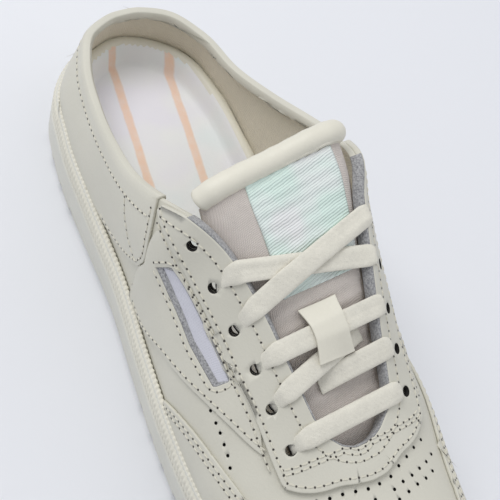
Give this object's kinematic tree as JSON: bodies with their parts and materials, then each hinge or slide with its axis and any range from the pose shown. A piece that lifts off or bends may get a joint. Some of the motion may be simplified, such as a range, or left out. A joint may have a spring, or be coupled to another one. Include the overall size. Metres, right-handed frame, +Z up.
{
  "type": "sneaker mule",
  "caption": "Right-foot leather sneaker mule: low rounded heel collar, cup sole, padded tongue, side windows and woven laces over the throat.",
  "frame": {"origin": "on the floor, under the middle of the sole's length and width", "axes": "+X from heel to toe, +Y to the inner (medial) side, +Z up"},
  "size_m": [0.27, 0.0942, 0.0988],
  "materials": {
    "chalk_leather": "smooth coated leather, chalk white with a warm tint",
    "white_rubber": "satin moulded rubber, off-white",
    "window_cloth": "fine woven cloth, pale grey",
    "footbed_cloth": "printed footbed cloth, white with soft pale stripes",
    "tongue_leather": "soft padded leather, pale cream",
    "woven_cotton": "flat herringbone lace, warm white"
  },
  "bodies": {
    "root": {"outsole": "white_rubber", "midsole": "white_rubber", "insole": "footbed_cloth", "upper": "chalk_leather", "heel_counter": "chalk_leather", "quarter_lateral": "chalk_leather", "quarter_medial": "chalk_leather", "window_lateral": "window_cloth", "window_medial": "window_cloth", "toe_guard": "chalk_leather", "eyestay": "chalk_leather", "tongue": "tongue_leather", "tongue_roll": "tongue_leather", "tongue_label": "window_cloth", "lace_front": "woven_cotton", "lace_lower": "woven_cotton", "lace_middle": "woven_cotton", "lace_upper": "woven_cotton", "lace_keeper": "tongue_leather"}
  },
  "joints": []
}
